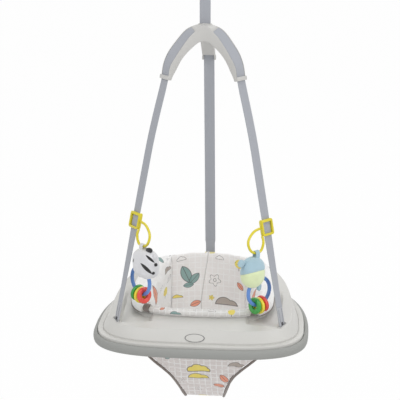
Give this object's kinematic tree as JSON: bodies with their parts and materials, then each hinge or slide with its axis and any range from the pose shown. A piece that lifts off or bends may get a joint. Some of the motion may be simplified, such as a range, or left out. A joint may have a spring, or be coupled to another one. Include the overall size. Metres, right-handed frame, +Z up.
{
  "type": "baby doorway jumper",
  "caption": "Doorway jumper: padded seat in a bumper tray with hanging toys, held by webbing straps, a moulded hub, a coil spring, a swivel and a door clamp.",
  "frame": {"origin": "middle of the door clamp's grip, on the hub's upright axis", "axes": "+Z up, -Y towards the child's front, +X to the viewer's right"},
  "size_m": [0.5128, 0.475, 1.4126],
  "materials": {
    "bumper_grey": "soft matt moulding",
    "clip_yellow": "glossy moulded",
    "disc_green": "glossy moulded",
    "disc_red": "glossy moulded",
    "disc_yellow": "glossy moulded",
    "hub_white": "smooth moulded",
    "moulded_grey": "smooth moulded",
    "plush_black": "short pile",
    "plush_blue": "short pile",
    "plush_green": "short pile",
    "plush_white": "short pile",
    "print_fabric": "printed woven cotton over wadding",
    "ring_blue": "glossy moulded",
    "rubber_grey": "ribbed",
    "steel": "plain",
    "taupe_binding": "woven tape",
    "tray_white": "smooth moulded",
    "webbing_grey": "woven polyester webbing"
  },
  "bodies": {
    "clamp_frame": {"hanger": "steel", "clamp_pivot_pin": "steel", "clamp_spring": "steel"},
    "jaw_front": {"clamp_jaw_front": "hub_white", "grip_pad_front": "rubber_grey"},
    "jaw_rear": {"clamp_jaw_rear": "hub_white", "grip_pad_rear": "rubber_grey"},
    "swivel": {"swivel_eye": "steel"},
    "spring_top": {"swivel_housing": "hub_white", "spring_cap_upper": "hub_white", "main_spring": "steel"},
    "seat": {"bumper": "bumper_grey", "hub": "hub_white", "leg_binding_left": "taupe_binding", "leg_binding_right": "taupe_binding", "roll_band_left": "taupe_binding", "roll_band_right": "taupe_binding", "seat_apron": "print_fabric", "seat_back": "print_fabric", "seat_front_roll": "print_fabric", "seat_wing_left": "print_fabric", "seat_wing_right": "print_fabric", "slot_collar_left": "hub_white", "slot_collar_rear": "hub_white", "slot_collar_right": "hub_white", "spring_cap_lower": "hub_white", "strap_anchor_left": "moulded_grey", "strap_anchor_rear": "moulded_grey", "strap_anchor_right": "moulded_grey", "strap_foot_left": "webbing_grey", "strap_foot_rear": "webbing_grey", "strap_foot_right": "webbing_grey", "strap_left": "webbing_grey", "strap_loop": "steel", "strap_rear": "webbing_grey", "strap_right": "webbing_grey", "top_strap": "webbing_grey", "tray": "tray_white"},
    "adjuster": {"height_adjuster": "moulded_grey"},
    "clip_left": {"toy_clip_left": "clip_yellow"},
    "toy_left": {"plush_body_left": "plush_white", "plush_ear_left": "plush_white", "plush_muzzle_left": "plush_black", "plush_tuft_left": "plush_black", "toy_loop_left": "plush_white"},
    "ring_left": {"blue_ring_left": "ring_blue"},
    "disc_red_left": {"disc_red_left": "disc_red"},
    "disc_yellow_left": {"disc_yellow_left": "disc_yellow"},
    "disc_green_left": {"disc_green_left": "disc_green"},
    "clip_right": {"toy_clip_right": "clip_yellow"},
    "toy_right": {"plush_belly_right": "plush_green", "plush_ear_right": "plush_blue", "plush_foot_right": "plush_blue", "plush_head_right": "plush_blue", "toy_loop_right": "plush_blue"},
    "ring_right": {"blue_ring_right": "ring_blue"},
    "disc_green_right": {"disc_green_right": "disc_green"},
    "disc_yellow_right": {"disc_yellow_right": "disc_yellow"},
    "disc_red_right": {"disc_red_right": "disc_red"}
  },
  "joints": [
    {"name": "front_jaw_hinge", "type": "hinge", "parent": "clamp_frame", "child": "jaw_front", "pos_m": [0, 0, -0.092], "axis": [1, 0, 0], "range_deg": [0, 12], "stiffness_Nm_per_rad": 4, "springref_deg": -28.65},
    {"name": "rear_jaw_hinge", "type": "hinge", "parent": "clamp_frame", "child": "jaw_rear", "pos_m": [0, 0, -0.092], "axis": [1, 0, 0], "range_deg": [-12, 0], "stiffness_Nm_per_rad": 4, "springref_deg": 28.65},
    {"name": "hanger_swing", "type": "hinge", "parent": "clamp_frame", "child": "swivel", "pos_m": [0, 0, -0.122], "axis": [1, 0, 0], "range_deg": [-12, 12]},
    {"name": "swivel_turn", "type": "hinge", "parent": "swivel", "child": "spring_top", "pos_m": [0, 0, -0.152], "axis": [0, 0, 1], "continuous": true},
    {"name": "bounce", "type": "slide", "parent": "spring_top", "child": "seat", "axis": [0, 0, -1], "range_m": [0, 0.12], "stiffness_N_per_m": 1000, "springref_m": -0.0228, "deforming": ["main_spring"]},
    {"name": "height_slide", "type": "slide", "parent": "seat", "child": "adjuster", "axis": [0, 0, 1], "range_m": [-0.008, 0.02]},
    {"name": "clip_slide_left", "type": "slide", "parent": "seat", "child": "clip_left", "axis": [0.1727, 0.1743, 0.9694], "range_m": [0, 0.12]},
    {"name": "toy_swing_left", "type": "hinge", "parent": "clip_left", "child": "toy_left", "pos_m": [-0.13143, -0.1632, -0.9345], "axis": [0.7103, -0.7039, 0], "range_deg": [-3, 0]},
    {"name": "ring_swing_left", "type": "hinge", "parent": "toy_left", "child": "ring_left", "pos_m": [-0.1381, -0.15658, -1.0225], "axis": [0.7039, 0.7103, 0], "range_deg": [-15, 6]},
    {"name": "disc_red_left_slip", "type": "hinge", "parent": "ring_left", "child": "disc_red_left", "pos_m": [-0.1381, -0.15658, -1.0225], "axis": [0.7039, 0.7103, 0], "range_deg": [-20, 0]},
    {"name": "disc_yellow_left_turn", "type": "hinge", "parent": "ring_left", "child": "disc_yellow_left", "pos_m": [-0.1381, -0.15658, -1.0582], "axis": [0.7103, -0.7039, 0], "continuous": true},
    {"name": "disc_green_left_slip", "type": "hinge", "parent": "ring_left", "child": "disc_green_left", "pos_m": [-0.1381, -0.15658, -1.0225], "axis": [0.7039, 0.7103, 0], "range_deg": [0, 10]},
    {"name": "clip_slide_right", "type": "slide", "parent": "seat", "child": "clip_right", "axis": [-0.1727, 0.1743, 0.9694], "range_m": [0, 0.12]},
    {"name": "toy_swing_right", "type": "hinge", "parent": "clip_right", "child": "toy_right", "pos_m": [0.13285, -0.16464, -0.9425], "axis": [0.7103, 0.7039, 0], "range_deg": [-3, 0]},
    {"name": "ring_swing_right", "type": "hinge", "parent": "toy_right", "child": "ring_right", "pos_m": [0.13953, -0.15802, -1.0395], "axis": [-0.7039, 0.7103, 0], "range_deg": [-6, 15]},
    {"name": "disc_green_right_slip", "type": "hinge", "parent": "ring_right", "child": "disc_green_right", "pos_m": [0.13953, -0.15802, -1.0395], "axis": [-0.7039, 0.7103, 0], "range_deg": [0, 20]},
    {"name": "disc_yellow_right_turn", "type": "hinge", "parent": "ring_right", "child": "disc_yellow_right", "pos_m": [0.13953, -0.15802, -1.0752], "axis": [0.7103, 0.7039, 0], "continuous": true},
    {"name": "disc_red_right_slip", "type": "hinge", "parent": "ring_right", "child": "disc_red_right", "pos_m": [0.13953, -0.15802, -1.0395], "axis": [-0.7039, 0.7103, 0], "range_deg": [-10, 0]}
  ],
  "couplings": [
    {"joint": "rear_jaw_hinge", "follows": "front_jaw_hinge", "ratio": -1}
  ]
}
